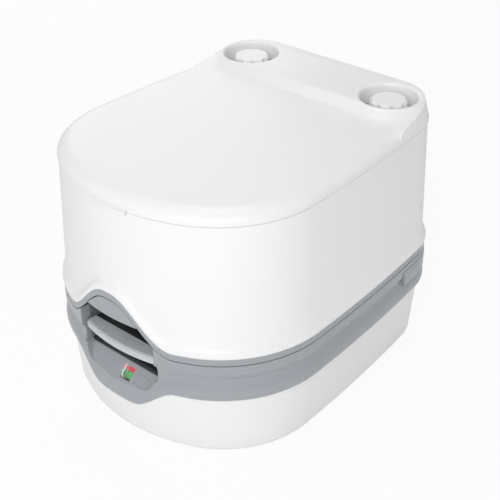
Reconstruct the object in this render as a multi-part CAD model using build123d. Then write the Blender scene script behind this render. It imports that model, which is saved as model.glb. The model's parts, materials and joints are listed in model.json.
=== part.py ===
from build123d import *
from math import atan2, cos, pi, sin, sqrt
import os

os.makedirs("parts", exist_ok=True)

# A portable toilet: a fresh water section with bowl, seat and lid, latched onto a waste section.
# Millimetres, floor at Z = 0, front towards -Y, left and right alike about X = 0.

# Overall size
overall_width = 326.0
overall_depth = 395.0
overall_height = 307.0

# Plan shape: blunt nose, round shoulders, gently bowed sides, rounded rear corners
lip_overhang = 4.5
nose_radius = 200.0
shoulder_radius = 125.0
side_bow_radius = 1940.0
rear_corner_radius = 59.0

# Levels
waste_shoulder_z = 78.8
parting_z = 125.0
lip_z = 133.0
seam_z = 280.0
lid_crown_z = 300.0

# Front grip: the parting line arches up over it and the collar dips below it
wave_reach = 75.0
arch_rise = 49.0
arch_flat = 4.0
dip_depth = 30.0
dip_flat = 22.0
pocket_half_width = 54.0
pocket_back_y = -138.0
pocket_ceiling_z = 152.0
scoop_top_y = -174.0
scoop_top_z = 89.0
scoop_half_width = 52.0
scoop_drop = 26.0
scoop_slope = 0.92

# Walls and fits
wall = 3.0
housing_wall = 4.0
section_gap = 1.2
piece_gap = 0.3
running_gap = 0.4
seam_gap = 0.8

# Slide valve
throat_y = -40.0
throat_radius = 40.0
blade_thickness = 3.0
blade_half_width = 44.0
blade_z = 102.2
valve_travel = 92.0
handle_z = 107.0
handle_thickness = 10.0
handle_half_width = 50.5
handle_depth = 36.0

# Tank deck
deck_z = 93.0

# Bowl and seat
bowl_y = -42.0
bowl_half_width = 92.0
bowl_half_depth = 108.0
rim_deck_z = 266.0

# Caps at the rear of the top
well_x = 98.0
well_y = 141.0
well_radius = 32.0
cap_radius = 20.5
cap_top_z = 303.0
boss_radius = 28.5
boss_top_z = 286.5
lobes = 8

# Hinge of seat and lid
hinge_y = 192.5
hinge_z = 284.0
hinge_pin_radius = 2.0
knuckle_radius = 4.4

# Pour-out spout at the rear of the waste tank
spout_x = -78.0
spout_y = 132.0
spout_z = 40.0
spout_radius = 17.0
spout_reach = 112.0
spout_cap_radius = 21.0
spout_cap_length = 18.0

# The plan shape is drawn from arcs that meet tangentially, so it can be moved out or in exactly.
half_width = overall_width / 2 - lip_overhang
half_depth = overall_depth / 2 - lip_overhang
nose_y = nose_radius - half_depth
shoulder_x = half_width - shoulder_radius
widest_y = nose_y - sqrt((nose_radius - shoulder_radius) ** 2 - shoulder_x**2)
bow_x = half_width - side_bow_radius
corner_y = half_depth - rear_corner_radius
corner_x = bow_x + sqrt((side_bow_radius - rear_corner_radius) ** 2 - (corner_y - widest_y) ** 2)
nose_end_angle = atan2(widest_y - nose_y, shoulder_x)
corner_start_angle = atan2(corner_y - widest_y, corner_x - bow_x)


def hump(x, rise, flat):
    """Height of the smooth wave at the front, zero beyond wave_reach."""
    across = (abs(x) - flat) / (wave_reach - flat)
    if across <= 0:
        return rise
    if across >= 1:
        return 0.0
    return rise * (1 + cos(pi * across)) / 2


def arc(cx, cy, radius, start, end, level):
    """Arc about (cx, cy) between two angles, at one height."""
    points = [
        (cx + radius * cos(angle), cy + radius * sin(angle), level)
        for angle in (start, (start + end) / 2, end)
    ]
    return ThreePointArc(*points)


def front_edge(offset, level, rise, flat, reach):
    """Middle part of the nose, from left to right, following the wave."""
    radius = nose_radius + offset
    count = 20
    points = []
    for step in range(count + 1):
        x = reach * (2 * step / count - 1)
        points.append((x, nose_y - sqrt(radius**2 - x**2), level + hump(x, rise, flat)))
    if rise == 0:
        return ThreePointArc(points[0], points[count // 2], points[-1])
    return Spline(*points)


def ring(offset, level, rise=0.0, flat=0.0):
    """Closed wire of the plan shape, moved out by offset, at one height."""
    nose = nose_radius + offset
    shoulder = shoulder_radius + offset
    bow = side_bow_radius + offset
    corner = rear_corner_radius + offset
    reach = min(wave_reach, 0.95 * nose * cos(nose_end_angle))
    reach_angle = atan2(reach, sqrt(nose**2 - reach**2))
    rear_y = half_depth + offset
    edges = [
        front_edge(offset, level, rise, flat, reach),
        arc(0, nose_y, nose, reach_angle - pi / 2, nose_end_angle, level),
        arc(shoulder_x, widest_y, shoulder, nose_end_angle, 0, level),
        arc(bow_x, widest_y, bow, 0, corner_start_angle, level),
        arc(corner_x, corner_y, corner, corner_start_angle, pi / 2, level),
        Line((corner_x, rear_y, level), (-corner_x, rear_y, level)),
        arc(-corner_x, corner_y, corner, pi / 2, pi - corner_start_angle, level),
        arc(-bow_x, widest_y, bow, pi - corner_start_angle, pi, level),
        arc(-shoulder_x, widest_y, shoulder, pi, pi - nose_end_angle, level),
        arc(0, nose_y, nose, pi - nose_end_angle, 1.5 * pi - reach_angle, level),
    ]
    return Wire(edges)


def stack(*rings):
    """Solid whose skin runs straight from each ring to the next."""
    return Solid.make_loft(list(rings), ruled=True)


def slab(offset, bottom, top):
    """Plan shape of one size between two levels."""
    return stack(ring(offset, bottom), ring(offset, top))


def below(level, rise, flat, back):
    """Everything under a level, raised by the wave in front of the line Y = back."""
    far = 400.0
    count = 20
    points = []
    for step in range(count + 1):
        x = wave_reach * (2 * step / count - 1)
        points.append((x, back, level + hump(x, rise, flat)))
    top = Spline(*points)
    under = -50.0
    border = Polyline(
        points[-1], (far, back, level), (far, back, under), (-far, back, under), (-far, back, level),
        points[0],
    )
    front = extrude(Face(Wire([top] + border.edges())), amount=far, dir=(0, -1, 0))
    rear = block(-far, far, back, far, under, level)
    return front + rear


def block(x0, x1, y0, y1, z0, z1):
    """Box between two corners."""
    return Pos((x0 + x1) / 2, (y0 + y1) / 2, (z0 + z1) / 2) * Box(x1 - x0, y1 - y0, z1 - z0)


def rod(x, y, z0, z1, radius):
    """Upright cylinder."""
    return Pos(x, y, (z0 + z1) / 2) * Cylinder(radius, z1 - z0)


def cross_rod(x0, x1, y, z, radius):
    """Cylinder lying along X."""
    return Pos((x0 + x1) / 2, y, z) * Rot(0, 90, 0) * Cylinder(radius, x1 - x0)


def side_profile(points, x0, x1):
    """Outline drawn in the Y-Z plane, carried from x0 to x1."""
    edges = Polyline(*[(x0, y, z) for y, z in points], close=True)
    return extrude(Face(Wire(edges.edges())), amount=x1 - x0, dir=(1, 0, 0))


def save(shape, name):
    """Write one separate piece, or a set of alike pieces, to its own file."""
    shape.label = name
    export_step(shape, f"parts/{name}.step")


# The recess for the valve handle is a deep pocket over the blade and a sloping scoop below it.
def front_pocket(grow, ceiling):
    """Pocket that the handle moves in, every side of it moved out by grow."""
    return block(
        -pocket_half_width - grow, pocket_half_width + grow,
        -half_depth - 40, pocket_back_y + grow,
        scoop_top_z - grow, ceiling,
    )


def scoop_height(y):
    """Height of the sloping face of the scoop."""
    return scoop_top_z + (y - scoop_top_y) * scoop_slope


def front_scoop(grow):
    """Eye-shaped cut with a sloping floor, every side of it moved out by grow."""
    out_y = -half_depth - 30
    back = scoop_top_y + 12
    drop = grow / cos(atan2(scoop_slope, 1))
    wedge = side_profile(
        [
            (out_y, scoop_height(out_y) - drop),
            (back, scoop_height(back) - drop),
            (back, scoop_height(back) + 12),
            (out_y, scoop_height(back) + 12),
        ],
        -scoop_half_width - grow - 5, scoop_half_width + grow + 5,
    )
    eye = Pos(0, 0, scoop_top_z + 4) * Rot(90, 0, 0) * extrude(
        Ellipse(scoop_half_width + grow, scoop_drop + 4 + grow), amount=half_depth + 60
    )
    return wedge & eye


# Waste tank: white blow-moulded tank. Its wall tapers to a rounded foot, and above the shoulder it
# stands back so that the collar can lap round it.
tank_step = 4.2
tank_top_z = deck_z + wall
tank = stack(
    ring(-17.0, 0), ring(-11.5, 1.6), ring(-8.3, 5.0), ring(-6.6, 10.0),
    ring(-1.2, waste_shoulder_z - 1.2, -dip_depth, dip_flat),
    ring(-2.0, waste_shoulder_z, -dip_depth, dip_flat),
    ring(-tank_step, waste_shoulder_z + 0.3, -dip_depth, dip_flat),
    ring(-tank_step, tank_top_z),
)
cavity = stack(ring(-16.0, wall), ring(-10.5, 10.0 + wall), ring(-tank_step - wall, deck_z))
notch_grow = housing_wall + piece_gap
notch_top = tank_top_z + 20
notch = [front_pocket(notch_grow, notch_top), front_scoop(notch_grow)]
notch_shell = [front_pocket(notch_grow + wall, notch_top), front_scoop(notch_grow + wall)]

# Recess at the rear for the pour-out spout, open to the rear.
spout_bay_left = spout_x - 27
spout_bay_right = 84.0
spout_bay_front = spout_y - 25
spout_bay_floor = spout_z - 22
spout_bay_top = spout_z + 23
bay = block(
    spout_bay_left, spout_bay_right, spout_bay_front, half_depth + 20, spout_bay_floor, spout_bay_top
)
bay_shell = block(
    spout_bay_left - wall, spout_bay_right + wall, spout_bay_front - wall, half_depth + 20,
    spout_bay_floor - wall, spout_bay_top + wall,
)
for tool in notch_shell + [bay_shell]:
    cavity = cavity - tool
tank = tank - cavity
for tool in notch + [bay]:
    tank = tank - tool
tank = tank - rod(0, throat_y, deck_z - 5, tank_top_z + 1, throat_radius + 2)

# Outlet of the tank into the spout, through the floor of the rear recess.
tank = tank - rod(spout_x, spout_y, spout_bay_floor - 10, spout_bay_floor + 1, spout_radius - 3)

# Window opening for the level gauge in the sloping wall of the notch.
window_x = 9.0
window_half_width = 7.5
window_length = 15.0
window_tilt = 42.6
window_y = -186.0
flag_depth = 12.0
window_z = scoop_height(window_y)
window_place = Pos(window_x, window_y, window_z) * Rot(window_tilt, 0, 0)
window_hole = window_place * Box(2 * window_half_width, window_length, 26)
tank = tank - window_hole

# Collar: grey moulding round the top of the waste tank, with ledge, groove and bead, and with the
# housing of the grip recess.
collar_inner = -tank_step + piece_gap
collar_foot = waste_shoulder_z + 0.7
collar_plug = collar_inner - 2.0
collar_outer = stack(
    ring(collar_plug, collar_foot - dip_depth - 5),
    ring(collar_plug, collar_foot, -dip_depth, dip_flat),
    ring(2.6, collar_foot, -dip_depth, dip_flat),
    ring(3.8, collar_foot + 2.0, -dip_depth, dip_flat),
    ring(4.4, collar_foot + 5.3, -dip_depth, dip_flat),
    ring(4.5, collar_foot + 8.9, -dip_depth, dip_flat),
    ring(3.6, collar_foot + 12.5, -dip_depth, dip_flat),
    ring(2.0, collar_foot + 16.1, -dip_depth * 0.9, dip_flat),
    ring(-0.4, 99.8, -dip_depth * 0.7, dip_flat),
    ring(-1.2, 104.6, -dip_depth * 0.35, dip_flat),
    ring(0.2, 109.0),
    ring(3.3, 111.4),
    ring(3.6, 112.2),
    ring(3.6, parting_z + arch_rise + 10),
)
hump_back_y = pocket_back_y + housing_wall
collar_band = collar_outer & below(parting_z - section_gap, arch_rise, arch_flat, hump_back_y)
inside = slab(collar_inner, 20, parting_z + arch_rise + 20)
collar = collar_band - inside
collar = collar + (collar_band & front_pocket(housing_wall, 400)) + (collar_band & front_scoop(housing_wall))
collar = collar - front_pocket(0, pocket_ceiling_z) - front_scoop(0)
blade_slot_z0 = blade_z - running_gap
blade_slot_z1 = blade_z + blade_thickness + running_gap
blade_slot = block(
    -blade_half_width - running_gap, blade_half_width + running_gap,
    pocket_back_y - 20, pocket_back_y + 20, blade_slot_z0, blade_slot_z1,
)
collar = collar - blade_slot - window_hole

# Notch at the rear for the latch, its foot pinned between the ends of the rear rail.
latch_half_width = 38.0
latch_notch = latch_half_width + 1.0
latch_y = 194.4
latch_z = 102.6
latch_barrel_radius = 2.4
latch_pin_radius = 1.4
collar = collar - block(
    -latch_notch, latch_notch, latch_y - latch_barrel_radius - running_gap, half_depth + 20,
    latch_z - 4, parting_z,
)
save(collar, "collar")

# Valve frame: flat housing on the tank deck in which the blade slides.
frame_half_width = 56.0
frame_front_y = hump_back_y + piece_gap
frame_back_y = throat_y + blade_half_width + 12
frame_top_z = 112.0
blade_plan = block(
    -blade_half_width, blade_half_width, pocket_back_y - 14, throat_y, blade_z, blade_z + blade_thickness
) + rod(0, throat_y, blade_z, blade_z + blade_thickness, blade_half_width)
frame_slot = block(
    -blade_half_width - running_gap, blade_half_width + running_gap,
    frame_front_y - 5, throat_y, blade_slot_z0, blade_slot_z1,
) + rod(0, throat_y, blade_slot_z0, blade_slot_z1, blade_half_width + running_gap)
valve_frame = block(
    -frame_half_width, frame_half_width, frame_front_y, frame_back_y, tank_top_z + piece_gap, frame_top_z
)
valve_frame = valve_frame - frame_slot - rod(0, throat_y, 90, 130, throat_radius)
screw_spots = [
    (x, y) for x in (-50.0, 50.0) for y in (frame_front_y + 8, frame_back_y - 8)
]
for x, y in screw_spots:
    valve_frame = valve_frame - rod(x, y, 90, frame_top_z + 1, 1.9)
    tank = tank - rod(x, y, deck_z - 1, frame_top_z + 1, 1.9)
save(valve_frame, "valve_frame")

screws = [
    rod(x, y, deck_z, frame_top_z + 1, 1.8) + rod(x, y, frame_top_z + 0.05, frame_top_z + 2.2, 3.6)
    for x, y in screw_spots
]
save(Compound(children=[Part(s.wrapped) for s in screws]), "valve_screws")

save(tank, "waste_tank")

# Throat seal: rubber ring standing on the valve frame, under the outlet of the bowl.
floor_z = 130.0
seal_top_z = 125.2
throat_seal = rod(0, throat_y, frame_top_z + piece_gap, seal_top_z, throat_radius + 8)
throat_seal = throat_seal - rod(0, throat_y, frame_top_z - 5, seal_top_z + 5, throat_radius + 1)
save(throat_seal, "throat_seal")

# Valve blade: a flat tongue that covers the throat.
save(Part(blade_plan.wrapped), "valve_blade")

# Valve handle: flat plate with a curved, rounded front edge, its stem standing on the blade.
handle_back_y = -half_depth + handle_depth
handle = block(
    -handle_half_width, handle_half_width, -half_depth - 20, handle_back_y,
    handle_z, handle_z + handle_thickness,
)
handle = handle & slab(-1.5, handle_z - 5, handle_z + handle_thickness + 5)
handle = fillet(handle.edges().filter_by(GeomType.CIRCLE), 3.5)
stem = block(
    -26, 26, handle_back_y - 18, handle_back_y + 12,
    blade_z + blade_thickness + 0.1, handle_z + 1,
)
handle = handle + stem
save(handle, "valve_handle")

# Level window: clear plug set in the scoop and through the tank wall.
window_gap = 0.2
window_depth = housing_wall + piece_gap + wall
level_window = window_place * Pos(0, 0, -window_depth / 2) * Box(
    2 * (window_half_width - window_gap), window_length - 2 * window_gap, window_depth
)
save(Part(level_window.wrapped), "level_window")

# Level gauge: a float on an arm that turns a red and green flag behind the window.
pivot_y = -142.0
pivot_z = 62.0
float_y = -70.0
float_z = 24.0
arm_x = window_x
flag_y = window_y + flag_depth * 0.677
flag_z = window_z - flag_depth * 0.736
float_arm = side_profile(
    [
        (flag_y + 0.9, flag_z - 1.0), (pivot_y - 2, pivot_z + 5), (pivot_y + 5, pivot_z + 4),
        (float_y + 4, float_z + 4), (float_y - 4, float_z - 4), (pivot_y - 2, pivot_z - 5),
        (flag_y + 3.0, flag_z - 4.5),
    ],
    arm_x - 2, arm_x + 2,
)
float_arm = float_arm - cross_rod(arm_x - 5, arm_x + 5, pivot_y, pivot_z, 1.8)
save(float_arm, "float_arm")
pin = cross_rod(arm_x - 14, arm_x + 14, pivot_y, pivot_z, 1.4)
save(pin, "float_pivot_pin")
float_body = Pos(arm_x, float_y, float_z) * Rot(0, 90, 0) * Cylinder(16, 44)
float_body = float_body - block(
    arm_x - 2.2, arm_x + 2.2, float_y - 20, float_y + 6, float_z - 6, float_z + 20
)
save(float_body, "float")

# Upper section: white wall that flares into a lip at its foot; the lip follows the grip arch.
upper_wall_in = -0.3 - wall
plug = upper_wall_in - 3.0
upper_outer = stack(
    ring(plug, lip_z - 45),
    ring(plug, lip_z, arch_rise, arch_flat),
    ring(4.0, lip_z, arch_rise, arch_flat),
    ring(4.5, lip_z + 2.0, arch_rise, arch_flat),
    ring(4.5, lip_z + 4.6, arch_rise, arch_flat),
    ring(3.9, lip_z + 6.8, arch_rise, arch_flat),
    ring(2.8, lip_z + 8.6, arch_rise, arch_flat),
    ring(1.6, lip_z + 10.2, arch_rise, arch_flat),
    ring(0.7, lip_z + 12.4, arch_rise, arch_flat),
    ring(0.1, lip_z + 15.6, arch_rise, arch_flat),
    ring(-0.3, lip_z + 21.0, arch_rise, arch_flat),
    ring(-4.5, seam_z),
)
upper_inner = stack(
    ring(upper_wall_in, lip_z - 50), ring(upper_wall_in, lip_z + 20), ring(-4.5 - wall, seam_z + 0.01)
)
tunnel_back_y = hump_back_y + 2.0
upper_shell = upper_outer - upper_inner
hinge_mount_x = 57.5
for x in (-hinge_mount_x, hinge_mount_x):
    bracket = block(x - 4, x + 4, half_depth - 6.5, hinge_y + 0.8, hinge_z - 14, hinge_z)
    upper_shell = upper_shell + bracket
    upper_shell = upper_shell + cross_rod(x - 4, x + 4, hinge_y, hinge_z, knuckle_radius)
for x in (-hinge_mount_x, hinge_mount_x):
    upper_shell = upper_shell - cross_rod(x - 6, x + 6, hinge_y, hinge_z, hinge_pin_radius)
save(upper_shell, "upper_shell")

# Skirt ring: grey band under the lip, down to the parting line.
skirt_ring = stack(
    ring(plug, parting_z - 30),
    ring(plug, parting_z, arch_rise, arch_flat),
    ring(3.6, parting_z, arch_rise, arch_flat),
    ring(3.6, lip_z - 0.1, arch_rise, arch_flat),
    ring(plug, lip_z - 0.1, arch_rise, arch_flat),
    ring(plug, lip_z + arch_rise + 20),
)
skirt_ring = skirt_ring - slab(upper_wall_in, 60, 250)
notch_y = latch_y - latch_barrel_radius
skirt_ring = skirt_ring - block(
    -latch_notch, latch_notch, notch_y, half_depth + 20, parting_z - 5, lip_z + 5
)
skirt_ring = skirt_ring + block(-20, 20, notch_y - 1, half_depth - 0.4, parting_z + 1, parting_z + 2.6)
save(skirt_ring, "skirt_ring")

# Hinge pins of the seat and the lid.
seat_arm_x = 45.0
lid_arm_x = 67.5
arm_half_width = 7.0
lid_arm_half_width = 4.8
pins = Compound(
    children=[
        Part(cross_rod(x0, x1, hinge_y, hinge_z, hinge_pin_radius - 0.02).wrapped)
        for x0, x1 in (
            (-lid_arm_x - lid_arm_half_width, -seat_arm_x + arm_half_width),
            (seat_arm_x - arm_half_width, lid_arm_x + lid_arm_half_width),
        )
    ]
)
save(pins, "hinge_pins")

# Floor of the water tank, with a hood over the housing of the grip recess.
floor_offset = -0.3 - wall - piece_gap
upper_floor = slab(floor_offset, floor_z, floor_z + wall)
hood_clear = 3.0
hood_outside = below(lip_z + hood_clear + wall, arch_rise, arch_flat, tunnel_back_y + wall)
hood_inside = below(lip_z + hood_clear, arch_rise, arch_flat, tunnel_back_y)
hood_span = wave_reach + 4
hood_room = block(-hood_span, hood_span, -half_depth - 20, tunnel_back_y + wall, floor_z, lip_z + arch_rise + 20)
hood = hood_outside & hood_room & slab(floor_offset - 1.6, floor_z - 10, lip_z + arch_rise + 30)
upper_floor = upper_floor + hood
upper_floor = upper_floor - (hood_inside & block(-400, 400, -400, tunnel_back_y, 60, 300))
upper_floor = upper_floor - rod(0, throat_y, floor_z - 5, floor_z + 10, throat_radius + wall + piece_gap)
save(upper_floor, "upper_floor")

# Rim deck with the two bosses, the bowl set into it, and the threaded neck of the water filler.
deck_offset = -4.5 - wall - piece_gap


def oval(half_x, half_y, y, level):
    """Elliptical wire lying flat."""
    return Wire([Pos(0, y, level) * edge for edge in Ellipse(half_x, half_y).edges()])


bowl_foot_z = floor_z - 4.0
bowl_outer = Solid.make_loft(
    [
        oval(throat_radius + wall, throat_radius + wall, throat_y, bowl_foot_z),
        oval(throat_radius + wall, throat_radius + wall, throat_y, floor_z + wall + 14),
        oval(bowl_half_width * 0.78 + wall, bowl_half_depth * 0.78 + wall, bowl_y, 200.0),
        oval(bowl_half_width + wall, bowl_half_depth + wall, bowl_y, rim_deck_z + wall),
    ],
    ruled=True,
)
bowl_inner = Solid.make_loft(
    [
        oval(throat_radius, throat_radius, throat_y, bowl_foot_z - 1),
        oval(throat_radius, throat_radius, throat_y, floor_z + wall + 14),
        oval(bowl_half_width * 0.78, bowl_half_depth * 0.78, bowl_y, 200.0),
        oval(bowl_half_width, bowl_half_depth, bowl_y, rim_deck_z + wall + 1),
    ],
    ruled=True,
)
bowl = bowl_outer - bowl_inner
bowl_seat_gap = wall + piece_gap
bowl_hole = Pos(0, bowl_y, rim_deck_z - wall) * extrude(
    Ellipse(bowl_half_width + bowl_seat_gap, bowl_half_depth + bowl_seat_gap), amount=3 * wall
)
boss_foot_z = rim_deck_z - 10
bowl_deck = slab(deck_offset - 0.6, rim_deck_z, rim_deck_z + wall) - bowl_hole
for x in (-well_x, well_x):
    bowl_deck = bowl_deck + rod(x, well_y, boss_foot_z, boss_top_z, boss_radius)
neck_radius = 15.0
neck_wall = 2.5
bowl_deck = bowl_deck - rod(-well_x, well_y, boss_foot_z - 1, cap_top_z, neck_radius + piece_gap)
bowl_deck = bowl_deck - rod(well_x, well_y, boss_foot_z - 1, cap_top_z, cap_radius + 1.5)
save(bowl_deck, "bowl_deck")

neck_foot_z = boss_foot_z - 0.1
filler_neck = rod(-well_x, well_y, neck_foot_z, cap_top_z - 6, neck_radius)
filler_neck = filler_neck + rod(-well_x, well_y, neck_foot_z - neck_wall, neck_foot_z, neck_radius + wall)
filler_neck = filler_neck - rod(-well_x, well_y, neck_foot_z - neck_wall - 1, cap_top_z, neck_radius - neck_wall)
save(filler_neck, "filler_neck")


# Lobed caps in the wells.
def lobed_cap(x, bottom, top, hollow_radius, hollow_top):
    """Knob with scalloped grip and softened top."""
    body = rod(x, well_y, bottom, top, cap_radius)
    body = chamfer(body.edges().group_by(Axis.Z)[-1], 2.0)
    for lobe in range(lobes):
        angle = 2 * pi * lobe / lobes
        body = body - rod(
            x + (cap_radius + 3.2) * cos(angle), well_y + (cap_radius + 3.2) * sin(angle),
            bottom + 3.5, top + 1, 5.6,
        )
    if hollow_radius:
        body = body - rod(x, well_y, bottom - 1, hollow_top, hollow_radius)
    return body


fill_cap = lobed_cap(-well_x, boss_top_z + 0.8, cap_top_z, neck_radius + 0.8, cap_top_z - 5)
save(fill_cap, "fill_cap")
cap_seal = rod(-well_x, well_y, cap_top_z - 5.9, cap_top_z - 5.1, neck_radius)
save(cap_seal, "fill_cap_seal")

pump_stroke = 20.0
knob_bottom = 282.0
pump_knob = lobed_cap(well_x, knob_bottom, cap_top_z, 0, 0)
save(pump_knob, "pump_knob")

bellows_bottom = 226.0
bellows_radius = 17.0
folds = 7
fold_height = (knob_bottom - 0.3 - bellows_bottom) / folds
profile = [(0, 0)]
for fold in range(folds):
    profile += [
        (bellows_radius - 4, fold * fold_height + 0.15),
        (bellows_radius, (fold + 0.5) * fold_height),
    ]
profile += [(bellows_radius - 4, folds * fold_height), (0, folds * fold_height)]
bellows_face = Face(Wire(Polyline(*[(r, 0, z) for r, z in profile], close=True).edges()))
bellows = Pos(well_x, well_y, bellows_bottom) * revolve(bellows_face, Axis.Z)
save(bellows, "pump_bellows")

pump_base = rod(well_x, well_y, floor_z + wall + piece_gap, bellows_bottom - 0.3, 14)
pump_base = pump_base + rod(well_x, well_y, bellows_bottom - 6, bellows_bottom - 0.3, 22)
save(pump_base, "pump_base")

# Flush tube from the pump to the spray nozzle at the back of the bowl.
nozzle_y = bowl_y + bowl_half_depth - 6
tube_path = Spline(
    (well_x - 14.2, well_y, 205), (62, 128, 214), (18, 98, 238), (0, nozzle_y + 10.5, 243),
    tangents=[(-1, 0, 0), (0, -0.93, 0.37)],
)
tube = sweep(Plane(origin=tube_path @ 0, z_dir=tube_path % 0) * Circle(4), path=tube_path)
save(tube, "flush_tube")

nozzle_place = Pos(0, nozzle_y + 3, 246) * Rot(68, 0, 0)
nozzle = nozzle_place * (Cylinder(7, 16) + Pos(0, 0, 8.5) * Cylinder(10, 3))
nozzle = nozzle - nozzle_place * Pos(0, 0, -6) * Cylinder(4.2, 8)
save(nozzle, "spray_nozzle")
bowl = bowl - nozzle_place * (Cylinder(7.3, 60) + Pos(0, 0, 17.8) * Cylinder(10.4, 22))
save(bowl, "bowl")

# Seat ring: rests on the rim deck and is hinged at the rear on two arms.
seat_foot_z = rim_deck_z + wall + 2.4
seat_back_y = 104.0
seat_ring = stack(
    ring(-16.5, seat_foot_z), ring(-14.5, seat_foot_z + 3), ring(-14.0, seat_foot_z + 8),
    ring(-15.0, seat_foot_z + 12), ring(-17.5, seat_foot_z + 15), ring(-22.0, seat_foot_z + 16.6),
)
seat_hole = Solid.make_loft(
    [
        oval(bowl_half_width + 2, bowl_half_depth + 2, bowl_y, seat_foot_z - 1),
        oval(bowl_half_width - 6, bowl_half_depth - 6, bowl_y, seat_foot_z + 6),
        oval(bowl_half_width - 4, bowl_half_depth - 4, bowl_y, seat_foot_z + 13),
        oval(bowl_half_width + 4, bowl_half_depth + 4, bowl_y, seat_foot_z + 18),
    ],
    ruled=True,
)
seat_ring = seat_ring - seat_hole - block(-300, 300, seat_back_y, 300, 0, 400)
arm_bottom_z = seam_z + 1.5
for x in (-seat_arm_x, seat_arm_x):
    seat_ring = seat_ring + block(
        x - arm_half_width, x + arm_half_width, seat_back_y - 16, hinge_y, arm_bottom_z, hinge_z + 3.4
    )
    seat_ring = seat_ring + cross_rod(
        x - arm_half_width, x + arm_half_width, hinge_y, hinge_z, knuckle_radius
    )
for x in (-seat_arm_x, seat_arm_x):
    seat_ring = seat_ring - cross_rod(
        x - arm_half_width - 1, x + arm_half_width + 1, hinge_y, hinge_z, hinge_pin_radius + piece_gap
    )
save(seat_ring, "seat_ring")

seat_bumpers = Compound(
    children=[
        Part(rod(x, y, rim_deck_z + wall + 0.3, seat_foot_z - 0.02, 6).wrapped)
        for x, y in ((-112, 60), (112, 60), (-86, -128), (86, -128))
    ]
)
save(seat_bumpers, "seat_bumpers")

# Lid: soft dome with a raised bar at the rear, two wells through the bar and a lift lip in front.
lid_foot_z = seam_z + seam_gap
crown_radius = 3160.0
crown = Pos(0, -10, lid_crown_z - crown_radius) * Sphere(crown_radius)
lid_skirt = -3.6


def lid_dome(inset, drop):
    """Dome of the lid; inset and drop give its inside."""
    dome = stack(
        ring(lid_skirt - 0.4 - inset, lid_foot_z - drop),
        ring(lid_skirt + 0.2 - inset, lid_foot_z + 2.6 - drop),
        ring(lid_skirt - inset, lid_foot_z + 5.0 - drop),
        ring(lid_skirt - 1.4 - inset, lid_foot_z + 7.8 - drop),
        ring(lid_skirt - 4.0 - inset, lid_foot_z + 10.4 - drop),
        ring(lid_skirt - 7.8 - inset, lid_foot_z + 12.6 - drop),
        ring(lid_skirt - 12.6 - inset, lid_foot_z + 14.3 - drop),
        ring(lid_skirt - 18.6 - inset, lid_foot_z + 15.8 - drop),
        ring(lid_skirt - 27.0 - inset, lid_foot_z + 17.6 - drop),
        ring(lid_skirt - 34.0 - inset, lid_foot_z + 22.0 - drop),
    )
    return dome & (Pos(0, 0, -drop) * crown)


bar_top_z = overall_height
bar_half_x = 133.0
bar_front_y = 107.0
bar_back_y = 184.0
bar_corner = 36.0


def bar_ring(spread, level):
    """Rounded outline of the rear bar at one height."""
    width = 2 * (bar_half_x + spread)
    depth = bar_back_y - bar_front_y + 2 * spread
    place = Pos(0, (bar_back_y + bar_front_y) / 2, level)
    return Wire((place * RectangleRounded(width, depth, bar_corner + spread)).edges())


bar_steps = [
    (-2.0, 0.0), (0.0, 0.3), (2.0, 1.3), (4.6, 3.4), (8.0, 6.4), (12.5, 8.8), (19.0, 10.6), (27.0, 12.4),
    (34.0, 15.8), (38.0, 21.0),
]


def lid_bar(inset, drop):
    """Raised bar; inset and drop give its inside."""
    rings = [bar_ring(spread - inset, bar_top_z - fall - drop) for spread, fall in reversed(bar_steps)]
    bar = Solid.make_loft(rings, ruled=True)
    fence = stack(
        ring(lid_skirt - inset, lid_foot_z), ring(lid_skirt - 0.4 - inset, lid_foot_z + 6),
        ring(lid_skirt - 6.0 - inset, bar_top_z + 1),
    )
    return bar & fence


lid_wall = 2.8
lid_outside = lid_dome(0, 0) + lid_bar(0, 0)
lid_inside = lid_dome(lid_wall, lid_wall) + lid_bar(lid_wall, lid_wall)
bar_room = Solid.make_loft(
    [bar_ring(-lid_wall - 1, lid_foot_z - 2), bar_ring(-lid_wall - 1, bar_top_z - lid_wall - 2.5)], ruled=True
)
lid = lid_outside - lid_inside - bar_room
tube_wall = 2.6
for x in (-well_x, well_x):
    lid = lid + rod(x, well_y, lid_foot_z, bar_top_z, well_radius + tube_wall)
for x in (-well_x, well_x):
    lid = lid - rod(x, well_y, lid_foot_z - 5, bar_top_z + 5, well_radius)
rim_round = 3.4
for x in (-well_x, well_x):
    rim_cut = rod(x, well_y, bar_top_z - rim_round, bar_top_z + 1, well_radius + rim_round)
    rim_cut = rim_cut - Pos(x, well_y, bar_top_z - rim_round) * Torus(well_radius + rim_round, rim_round)
    lid = lid - rim_cut

# Notches in the rear of the lid for the seat arms and the hinge brackets, then the lid's own arms.
slot_top_z = hinge_z + 6.5
for side in (-1, 1):
    inner = side * (seat_arm_x - arm_half_width - 1.0)
    outer = side * (hinge_mount_x + 4 + 0.6)
    lid = lid - block(
        min(inner, outer), max(inner, outer), half_depth - 12, half_depth + 10, lid_foot_z - 2, slot_top_z
    )
for x in (-lid_arm_x, lid_arm_x):
    lid = lid + block(
        x - lid_arm_half_width, x + lid_arm_half_width, half_depth - 7.5, hinge_y,
        lid_foot_z, hinge_z + knuckle_radius - 0.2,
    )
    lid = lid + cross_rod(
        x - lid_arm_half_width, x + lid_arm_half_width, hinge_y, hinge_z, knuckle_radius
    )
for x in (-lid_arm_x, lid_arm_x):
    lid = lid - cross_rod(
        x - lid_arm_half_width - 1, x + lid_arm_half_width + 1, hinge_y, hinge_z,
        hinge_pin_radius + piece_gap,
    )
lip_half_width = 34.0
lift_lip = slab(3.0, lid_foot_z, lid_foot_z + 3.4) & (
    Pos(0, -half_depth - 14, lid_foot_z) * Cylinder(lip_half_width, 20)
)
lift_lip = lift_lip - slab(lid_skirt - lid_wall, lid_foot_z - 5, lid_foot_z + 10)
lid = lid + lift_lip
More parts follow.
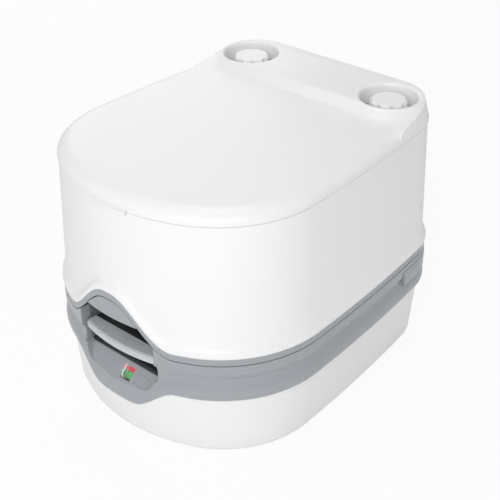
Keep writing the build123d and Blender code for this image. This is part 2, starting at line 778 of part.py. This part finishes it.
save(lid, "lid")

lid_bumpers = Compound(
    children=[
        Part(rod(x, y, seat_foot_z + 16.9, seat_foot_z + 19.5, 5).wrapped)
        for x, y in ((-104, 40), (104, 40), (-80, -110), (80, -110))
    ]
)
save(lid_bumpers, "lid_bumpers")

# Rear rail: grey trim that fills the groove of the collar round the rear corners.
rail_front_y = 106.0
rail_low_z = 97.0
rail_high_z = 117.5
rail_gap_half_width = latch_notch + 0.5
rail = stack(
    ring(3.7, rail_low_z), ring(4.3, rail_low_z + 2), ring(4.4, rail_high_z - 3), ring(3.9, rail_high_z)
)
rail_keep = side_profile(
    [
        (rail_front_y, rail_high_z + 5), (rail_front_y + 7, rail_low_z - 5),
        (half_depth + 20, rail_low_z - 5), (half_depth + 20, rail_high_z + 5),
    ],
    -200, 200,
)
rail = (rail & rail_keep) - collar_outer
rail = rail - block(-rail_gap_half_width, rail_gap_half_width, 150, 220, 0, 200)
rail = rail - cross_rod(
    -rail_gap_half_width - 8, rail_gap_half_width + 8, latch_y, latch_z, latch_pin_radius + 0.1
)
save(rail, "rear_rail")

# Rear latch: a plate hinged at its foot, whose nose stops just short of the rib on the skirt ring.
latch_top_z = lip_z - 2.2
latch = side_profile(
    [
        (latch_y - 1.2, latch_z), (latch_y + 1.4, latch_z - 1.9), (half_depth + 3.9, latch_z + 0.4),
        (half_depth + 3.9, latch_top_z - 1), (half_depth + 2.9, latch_top_z), (half_depth, latch_top_z),
        (half_depth, latch_top_z - 2.2), (half_depth + 1.2, latch_top_z - 2.6), (half_depth + 1.2, latch_z + 3),
    ],
    -latch_half_width, latch_half_width,
)
latch = latch + cross_rod(
    -latch_half_width, latch_half_width, latch_y, latch_z, latch_barrel_radius
)
latch = latch - cross_rod(
    -latch_half_width - 1, latch_half_width + 1, latch_y, latch_z, latch_pin_radius + piece_gap
)
save(latch, "rear_latch")
latch_pin = cross_rod(
    -rail_gap_half_width - 7, rail_gap_half_width + 7, latch_y, latch_z, latch_pin_radius
)
save(latch_pin, "latch_pin")

# Outlet seal: rubber ring under the floor of the water tank, round the foot of the bowl.
outlet_seal = rod(0, throat_y, seal_top_z + 0.7, floor_z - 0.1, throat_radius + 8)
outlet_seal = outlet_seal - rod(0, throat_y, floor_z - 20, floor_z + 5, throat_radius + wall + 0.1)
save(outlet_seal, "outlet_seal")

# Flags of the level gauge, on the front end of the float arm.
flag_place = window_place * Pos(0, 0, -flag_depth)
flag_half_width = 8.5
flag_border = 2.0
flag_low_end = -6.0
flag_high_end = 13.0
flag_thickness = 1.5


def flag(start, end):
    """Flat flag between two distances up the slope."""
    return flag_place * Pos(0, (start + end) / 2, 0) * Box(2 * flag_half_width, end - start, flag_thickness)


green_flag = flag(flag_low_end, flag_border)
red_flag = flag(flag_border, flag_high_end)
save(Part(green_flag.wrapped), "flag_green")
save(Part(red_flag.wrapped), "flag_red")

# Pour-out spout: an elbow that swings out through the open rear of its bay, closed by a screw cap.
spout_foot_z = spout_bay_floor + 1.0
spout = rod(spout_x, spout_y, spout_foot_z, spout_z, spout_radius)
spout = spout + Pos(spout_x, spout_y, spout_z) * Sphere(spout_radius)
spout = spout + cross_rod(spout_x, spout_x + spout_reach, spout_y, spout_z, spout_radius)
bore = spout_radius - wall
spout = spout - rod(spout_x, spout_y, spout_foot_z - 5, spout_z, bore)
spout = spout - Pos(spout_x, spout_y, spout_z) * Sphere(bore)
spout = spout - cross_rod(spout_x, spout_x + spout_reach + 5, spout_y, spout_z, bore)
save(spout, "pour_spout")
spout_oring = rod(spout_x, spout_y, spout_bay_floor + 0.1, spout_foot_z - 0.1, spout_radius - 0.5)
spout_oring = spout_oring - rod(
    spout_x, spout_y, spout_bay_floor - 2, spout_foot_z + 2, spout_radius - 2.5
)
save(spout_oring, "spout_oring")
spout_end_x = spout_x + spout_reach
spout_cap = cross_rod(
    spout_end_x - spout_cap_length + 4.5, spout_end_x + 4.5, spout_y, spout_z, spout_cap_radius
)
spout_cap = spout_cap - cross_rod(
    spout_end_x - spout_cap_length, spout_end_x + 1.3, spout_y, spout_z, spout_radius + 0.8
)
for lobe in range(lobes):
    angle = 2 * pi * (lobe + 0.5) / lobes
    spout_cap = spout_cap - cross_rod(
        spout_end_x - spout_cap_length, spout_end_x + 10,
        spout_y + (spout_cap_radius + 2.0) * cos(angle), spout_z + (spout_cap_radius + 2.0) * sin(angle), 3.4,
    )
save(spout_cap, "spout_cap")
spout_seal = cross_rod(spout_end_x + 0.2, spout_end_x + 1.2, spout_y, spout_z, spout_radius)
save(spout_seal, "spout_cap_seal")
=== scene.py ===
import json
import math

import bpy
from mathutils import Matrix, Vector


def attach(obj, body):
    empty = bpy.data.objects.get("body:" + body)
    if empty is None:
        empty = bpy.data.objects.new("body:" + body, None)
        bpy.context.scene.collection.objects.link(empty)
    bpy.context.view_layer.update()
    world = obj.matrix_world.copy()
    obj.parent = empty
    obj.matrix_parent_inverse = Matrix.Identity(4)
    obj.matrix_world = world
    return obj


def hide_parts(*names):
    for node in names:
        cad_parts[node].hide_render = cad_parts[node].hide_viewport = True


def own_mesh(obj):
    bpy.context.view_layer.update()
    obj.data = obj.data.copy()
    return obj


# Portable toilet, seen three quarters from the front right and from above.
# Metres, floor at Z = 0, the grip and the level window face -Y.
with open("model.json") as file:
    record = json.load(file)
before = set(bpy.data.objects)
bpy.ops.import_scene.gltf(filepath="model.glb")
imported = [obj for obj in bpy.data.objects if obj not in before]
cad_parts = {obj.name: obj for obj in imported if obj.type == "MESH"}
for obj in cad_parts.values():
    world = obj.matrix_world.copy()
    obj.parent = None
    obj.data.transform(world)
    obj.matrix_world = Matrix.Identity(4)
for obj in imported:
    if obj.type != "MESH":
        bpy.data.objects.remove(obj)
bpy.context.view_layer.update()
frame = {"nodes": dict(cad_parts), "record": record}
bpy.ops.object.select_all(action="DESELECT")

# Viewpoint of the photograph: a short telephoto lens from a standing person's height, turned
# towards the right front corner. The picture was cropped off centre, hence the small shift.
view_azimuth = math.radians(42.5)
view_elevation = math.radians(31.5)
view_roll = math.radians(-1.2)
view_distance = 1.2065
view_target = Vector((-0.0010, -0.0236, 0.1724))
picture_px = 500
focal_px = 1091.5
centre_px = (221.9, 231.1)
sensor_mm = 36.0

towards_camera = Vector((
    math.sin(view_azimuth) * math.cos(view_elevation),
    -math.cos(view_azimuth) * math.cos(view_elevation),
    math.sin(view_elevation),
))
level_right = Vector((0, 0, 1)).cross(towards_camera).normalized()
level_up = towards_camera.cross(level_right)
camera_right = level_right * math.cos(view_roll) + level_up * math.sin(view_roll)
camera_up = level_up * math.cos(view_roll) - level_right * math.sin(view_roll)

bpy.ops.object.camera_add()
camera = bpy.context.object
camera.name = "camera"
camera.data.sensor_width = sensor_mm
camera.data.lens = focal_px / picture_px * sensor_mm
camera.data.shift_x = (picture_px / 2 - centre_px[0]) / picture_px
camera.data.shift_y = (centre_px[1] - picture_px / 2) / picture_px
camera.data.clip_start = 0.05
camera.data.clip_end = 50
camera.rotation_mode = "QUATERNION"
camera_axes = Matrix((camera_right, camera_up, towards_camera)).transposed()
camera.rotation_quaternion = camera_axes.to_quaternion()
camera.location = view_target + towards_camera * view_distance
bpy.context.scene.camera = camera
bpy.context.scene.view_settings.view_transform = "Standard"


# Two helpers for the node trees of the lights and the finishes.
def node(tree, kind, settings=None, **inputs):
    """Adds one node; inputs are values or output sockets, named as the sockets are, or i0, i1, i2."""
    made = tree.nodes.new(kind)
    for name, value in (settings or {}).items():
        setattr(made, name, value)
    for name, value in inputs.items():
        numbered = name[0] == "i" and name[1:].isdigit()
        socket = made.inputs[int(name[1:]) if numbered else name.replace("_", " ")]
        if isinstance(value, bpy.types.NodeSocket):
            tree.links.new(value, socket)
        else:
            socket.default_value = value
    return made


def linear(hex_colour):
    """sRGB hex value as the linear RGBA that the shaders take."""
    channels = [int(hex_colour[i:i + 2], 16) / 255 for i in (1, 3, 5)]
    return tuple(c / 12.92 if c <= 0.04045 else ((c + 0.055) / 1.055) ** 2.4 for c in channels) + (1.0,)


# Light tent of the studio: a white room with a large soft key lamp at the front right, a weaker one
# at the rear left that opens the shaded side, and a small one overhead for the sheen on the lid.
room_light = 0.54
lamp_aim = Vector((0, 0, 0.15))
world = bpy.data.worlds.new("light_tent")
bpy.context.scene.world = world
world.use_nodes = True
world_tree = world.node_tree
world_tree.nodes.clear()
world_path = node(world_tree, "ShaderNodeLightPath")
seen_white = node(
    world_tree, "ShaderNodeMath", {"operation": "MAXIMUM"},
    i0=world_path.outputs["Is Camera Ray"], i1=world_path.outputs["Is Transmission Ray"],
)
room = node(world_tree, "ShaderNodeBackground", Color=linear("#FFFFFF"), Strength=room_light)
backdrop = node(world_tree, "ShaderNodeBackground", Color=linear("#FFFFFF"), Strength=1.0)
tent = node(
    world_tree, "ShaderNodeMixShader",
    i0=seen_white.outputs[0], i1=room.outputs[0], i2=backdrop.outputs[0],
)
node(world_tree, "ShaderNodeOutputWorld", Surface=tent.outputs[0])

for lamp_name, lamp_place, lamp_size, lamp_power in (
    ("key_lamp", (0.75, -1.35, 1.1), 0.9, 12.5),
    ("back_lamp", (-1.6, 1.2, 0.9), 1.2, 6.0),
    ("overhead_strip", (-0.2, 0.1, 1.9), 0.6, 3.5),
):
    bpy.ops.object.light_add(type="AREA", location=lamp_place)
    lamp = bpy.context.object
    lamp.name = lamp_name
    lamp.data.size = lamp_size
    lamp.data.energy = lamp_power
    lamp.rotation_mode = "QUATERNION"
    lamp.rotation_quaternion = (Vector(lamp_place) - lamp_aim).to_track_quat("Z", "Y")

# Floor of the studio: matt white board that runs out of the picture. The camera sees mostly its
# white glow, and the rest keeps a soft shadow under the object.
floor_size = 30.0
glow_seen = 0.88
bpy.ops.mesh.primitive_plane_add(size=floor_size)
floor = bpy.context.object
floor.name = "studio_floor"
board = bpy.data.materials.new("matt_white_board")
board.use_nodes = True
tree = board.node_tree
tree.nodes.clear()
board_path = node(tree, "ShaderNodeLightPath")
board_paint = node(tree, "ShaderNodeBsdfDiffuse", Color=linear("#FAFAFA"))
board_glow = node(tree, "ShaderNodeEmission", Color=linear("#FFFFFF"), Strength=1.0)
glow_share = node(
    tree, "ShaderNodeMath", {"operation": "MULTIPLY"}, i0=board_path.outputs["Is Camera Ray"], i1=glow_seen,
)
board_mix = node(
    tree, "ShaderNodeMixShader",
    i0=glow_share.outputs[0], i1=board_paint.outputs[0], i2=board_glow.outputs[0],
)
node(tree, "ShaderNodeOutputMaterial", Surface=board_mix.outputs[0])
floor.data.materials.append(board)


# Finishes. Every moulding is a thermoplastic, so the colour is all through and the gloss comes from
# the polish or the spark texture of its mould. Edges are softly rounded in the shading.
cloud_size = 0.060
cloud_low = 0.3
cloud_high = 0.7
grain_strength = 0.35
edge_mm = 0.6
edge_samples = 6
# Painted shade in deep recesses: the share of the colour kept inside the box, and where it starts to ease
# back.
painted_shade_share = 0.06
painted_shade_border = 0.95


def moulded(name, colour, roughness, ior, grain_mm, grain_depth_mm, mottle, spread=0.05, painted_shade_box=None):
    """Moulded plastic or rubber: faint mottle, grain of the mould, rounded edges.

    Surfaces inside a box given by two corners get painted shade: their colour is darkened almost to black,
    easing back near the box's faces.
    """
    material = bpy.data.materials.new(name)
    material.use_nodes = True
    tree = material.node_tree
    tree.nodes.clear()
    place = node(tree, "ShaderNodeTexCoord").outputs["Object"]
    cloud = node(tree, "ShaderNodeTexNoise", Vector=place, Scale=1 / cloud_size, Detail=3.0, Roughness=0.5)
    shade = node(
        tree, "ShaderNodeMapRange", Value=cloud.outputs["Fac"],
        From_Min=cloud_low, From_Max=cloud_high, To_Min=1 - mottle, To_Max=1.0,
    )
    colour_out = node(
        tree, "ShaderNodeVectorMath", {"operation": "SCALE"}, i0=linear(colour)[:3],
        Scale=shade.outputs["Result"],
    )
    # Painted shade: inside the box the colour is scaled down almost to black.
    if painted_shade_box is not None:
        low, high = Vector(painted_shade_box[0]), Vector(painted_shade_box[1])
        from_middle = node(
            tree, "ShaderNodeVectorMath", {"operation": "SUBTRACT"}, i0=place, i1=(low + high) / 2,
        )
        share = node(
            tree, "ShaderNodeVectorMath", {"operation": "DIVIDE"}, i0=from_middle.outputs[0],
            i1=(high - low) / 2,
        )
        reach = node(tree, "ShaderNodeVectorMath", {"operation": "ABSOLUTE"}, i0=share.outputs[0])
        ways = node(tree, "ShaderNodeSeparateXYZ", Vector=reach.outputs[0])
        level = node(
            tree, "ShaderNodeMath", {"operation": "MAXIMUM"}, i0=ways.outputs["X"], i1=ways.outputs["Y"],
        )
        furthest = node(
            tree, "ShaderNodeMath", {"operation": "MAXIMUM"}, i0=level.outputs[0], i1=ways.outputs["Z"],
        )
        painted_shade_factor = node(
            tree, "ShaderNodeMapRange", Value=furthest.outputs[0],
            From_Min=painted_shade_border, From_Max=1.0, To_Min=painted_shade_share, To_Max=1.0,
        )
        colour_out = node(
            tree, "ShaderNodeVectorMath", {"operation": "SCALE"}, i0=colour_out.outputs["Vector"],
            Scale=painted_shade_factor.outputs["Result"],
        )
    gloss = node(
        tree, "ShaderNodeMapRange", Value=cloud.outputs["Fac"],
        From_Min=cloud_low, From_Max=cloud_high, To_Min=roughness - spread, To_Max=roughness + spread,
    )
    grain = node(
        tree, "ShaderNodeTexNoise", Vector=place, Scale=1000 / grain_mm, Detail=2.0, Roughness=0.5,
    )
    edge = node(tree, "ShaderNodeBevel", {"samples": edge_samples}, Radius=edge_mm / 1000)
    relief = node(
        tree, "ShaderNodeBump", Strength=grain_strength, Distance=grain_depth_mm / 1000,
        Height=grain.outputs["Fac"], Normal=edge.outputs["Normal"],
    )
    shell = node(
        tree, "ShaderNodeBsdfPrincipled", Base_Color=colour_out.outputs["Vector"],
        Roughness=gloss.outputs["Result"], IOR=ior, Normal=relief.outputs["Normal"],
    )
    node(tree, "ShaderNodeOutputMaterial", Surface=shell.outputs["BSDF"])
    return material


def polished_steel(name):
    """Turned stainless steel, with a fine uneven sheen."""
    sheen_size = 0.0006
    material = bpy.data.materials.new(name)
    material.use_nodes = True
    tree = material.node_tree
    tree.nodes.clear()
    place = node(tree, "ShaderNodeTexCoord").outputs["Object"]
    sheen = node(tree, "ShaderNodeTexNoise", Vector=place, Scale=1 / sheen_size, Detail=1.0)
    gloss = node(tree, "ShaderNodeMapRange", Value=sheen.outputs["Fac"], To_Min=0.22, To_Max=0.34)
    metal = node(
        tree, "ShaderNodeBsdfPrincipled", Base_Color=linear("#C4C5C6"), Metallic=1.0,
        Roughness=gloss.outputs["Result"],
    )
    node(tree, "ShaderNodeOutputMaterial", Surface=metal.outputs["BSDF"])
    return material


def clear_acrylic(name):
    """Thick clear acrylic, which carries the colour of the flags up to its face."""
    haze_size = 0.004
    material = bpy.data.materials.new(name)
    material.use_nodes = True
    tree = material.node_tree
    tree.nodes.clear()
    place = node(tree, "ShaderNodeTexCoord").outputs["Object"]
    haze = node(tree, "ShaderNodeTexNoise", Vector=place, Scale=1 / haze_size, Detail=2.0)
    gloss = node(tree, "ShaderNodeMapRange", Value=haze.outputs["Fac"], To_Min=0.02, To_Max=0.06)
    path = node(tree, "ShaderNodeLightPath")
    block = node(
        tree, "ShaderNodeBsdfPrincipled", Base_Color=linear("#FCFFFF"), Transmission_Weight=1.0, IOR=1.49,
        Roughness=gloss.outputs["Result"],
    )
    lit_through = node(tree, "ShaderNodeBsdfTransparent", Color=linear("#F8FCFC"))
    window = node(
        tree, "ShaderNodeMixShader", i0=path.outputs["Is Shadow Ray"], i1=block.outputs["BSDF"],
        i2=lit_through.outputs["BSDF"],
    )
    node(tree, "ShaderNodeOutputMaterial", Surface=window.outputs["Shader"])
    return material


def coat(node_name, finish):
    """Gives a node of the frame one finish all over."""
    mesh = frame["nodes"][node_name].data
    mesh.materials.clear()
    mesh.materials.append(finish)


# Grey polypropylene from a spark-eroded mould: even, with a dull sheen.
grey_pp = {
    "roughness": 0.27, "ior": 1.50, "grain_mm": 0.9, "grain_depth_mm": 0.02, "mottle": 0.02, "spread": 0.02,
}
# Coloured polypropylene of the two flags.
flag_pp = {"roughness": 0.35, "ior": 1.50, "grain_mm": 1.2, "grain_depth_mm": 0.01, "mottle": 0.03}
finishes = {
    # Injection-moulded ABS from a polished mould: clean white with a soft sheen.
    "white_plastic": moulded(
        "white_moulded_abs", "#F4F4F5", roughness=0.36, ior=1.53, grain_mm=1.6, grain_depth_mm=0.02,
        mottle=0.006, spread=0.015,
    ),
    # Blow-moulded HDPE: a little duller, with a faint waviness.
    "white_tank": moulded(
        "white_blown_hdpe", "#F3F3F3", roughness=0.40, ior=1.54, grain_mm=7.0, grain_depth_mm=0.08,
        mottle=0.008, spread=0.02,
    ),
    "grey_plastic": moulded("grey_moulded_pp", "#A2A6AB", **grey_pp),
    "rubber": moulded(
        "black_epdm", "#2A2A2D", roughness=0.62, ior=1.52, grain_mm=1.2, grain_depth_mm=0.03, mottle=0.10,
    ),
    "red": moulded("red_moulded_pp", "#E22537", **flag_pp),
    "green": moulded("green_moulded_pp", "#48A254", **flag_pp),
    "steel": polished_steel("turned_stainless"),
    "clear": clear_acrylic("clear_acrylic"),
}
for slot_name, finish in finishes.items():
    for part in frame["record"]["subparts"]:
        if part["material_slot"] == slot_name:
            coat(part["node"], finish)

# Collar: grey PP. Little light gets into the depth of the grip recess, so its inner faces get painted
# shade, almost black, from just behind the mouth. The photograph shows dark gaps there.
recess_painted_shade_box = ((-0.0552, -0.1775, 0.0853), (0.0552, -0.1365, 0.1535))
coat("collar", moulded("grey_collar_pp_painted_shade", "#A3A7AC", painted_shade_box=recess_painted_shade_box, **grey_pp))

# Valve handle: grey PP, painted paler than the collar to stand in for light that the lunette keeps off its
# top. The rear strip of its top gets painted shade, almost black, as in the recess.
handle_rear_painted_shade_box = ((-0.0520, -0.1728, 0.1160), (0.0520, -0.1500, 0.1180))
coat("valve_handle", moulded("grey_handle_pp_painted_light_and_shade", "#C6C9CD", painted_shade_box=handle_rear_painted_shade_box, **grey_pp))

# Bellows of the flush pump: black EPDM with seven folds, shut at both ends. It stands on the pump base;
# on the real pump it folds down as the knob is pressed, and here it keeps its full height.
bellows_place = Vector((0.098, 0.141, 0.226))
bellows_height = 0.0557
bellows_valley = 0.013
bellows_ridge = 0.017
bellows_sides = 64
fold_count = 7
bpy.ops.object.select_all(action="DESELECT")
bpy.ops.mesh.primitive_circle_add(
    vertices=bellows_sides, radius=bellows_valley, fill_type="NGON", location=bellows_place,
)
bellows = bpy.context.object
bellows.name = "bellows_soft"
bpy.ops.object.mode_set(mode="EDIT")
bellows_flank = (bellows_valley + bellows_ridge) / 2
fold_steps = ((0.3, bellows_flank), (0.2, bellows_ridge), (0.2, bellows_flank), (0.3, bellows_valley))
radius = bellows_valley
for fold in range(fold_count):
    for height_share, next_radius in fold_steps:
        rise = bellows_height / fold_count * height_share
        bpy.ops.mesh.extrude_region_move(TRANSFORM_OT_translate={"value": (0, 0, rise)})
        grow = next_radius / radius
        bpy.ops.transform.resize(value=(grow, grow, 1), center_override=bellows_place)
        radius = next_radius
bpy.ops.mesh.select_all(action="SELECT")
bpy.ops.mesh.normals_make_consistent(inside=False)
bpy.ops.object.mode_set(mode="OBJECT")
bpy.ops.object.transform_apply(location=True, rotation=True, scale=True)
for face in bellows.data.polygons:
    face.use_smooth = len(face.vertices) == 4
bellows.data.materials.append(finishes["rubber"])
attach(bellows, "upper_section")
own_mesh(bellows)
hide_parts("pump_bellows")

# Raised outline in the scoop, right of the window: part of the moulding, 0.4 mm high. A plate is
# rounded at its corners, its middle is taken out and the frame that is left is laid on the slope.
scoop_tilt = math.radians(42.6)
tab_middle = Vector((0.0310, -0.1868, 0.0771))
tab_width = 0.020
tab_length = 0.0125
tab_corner = 0.0035
tab_border = 0.0008
tab_relief = 0.0004
bpy.ops.mesh.primitive_plane_add(size=1)
tab = bpy.context.object
tab.name = "scoop_outline"
bpy.ops.object.mode_set(mode="EDIT")
bpy.ops.transform.resize(value=(tab_width, tab_length, 1))
bpy.ops.mesh.bevel(offset=tab_corner, segments=6, affect="VERTICES")
bpy.ops.mesh.inset(thickness=tab_border)
bpy.ops.mesh.delete(type="FACE")
bpy.ops.mesh.select_all(action="SELECT")
bpy.ops.mesh.extrude_region_move(TRANSFORM_OT_translate={"value": (0, 0, tab_relief)})
bpy.ops.mesh.select_all(action="SELECT")
bpy.ops.mesh.normals_make_consistent(inside=False)
bpy.ops.object.mode_set(mode="OBJECT")
tab.location = tab_middle
tab.rotation_euler = (scoop_tilt, 0, 0)
bpy.ops.object.transform_apply(location=True, rotation=True, scale=True)
tab.data.materials.append(finishes["grey_plastic"])
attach(tab, "waste_section")

# All mouldings have smooth faces; an edge stays sharp where the real one has a fold or a step.
weld_distance = 0.00002
crease_angle = math.radians(28)
for shell in frame["nodes"].values():
    bpy.context.view_layer.objects.active = shell
    bpy.ops.mesh.customdata_custom_splitnormals_clear()
    for face in shell.data.polygons:
        face.use_smooth = True
    weld = shell.modifiers.new("weld", "WELD")
    weld.merge_threshold = weld_distance
    split = shell.modifiers.new("crease", "EDGE_SPLIT")
    split.split_angle = crease_angle
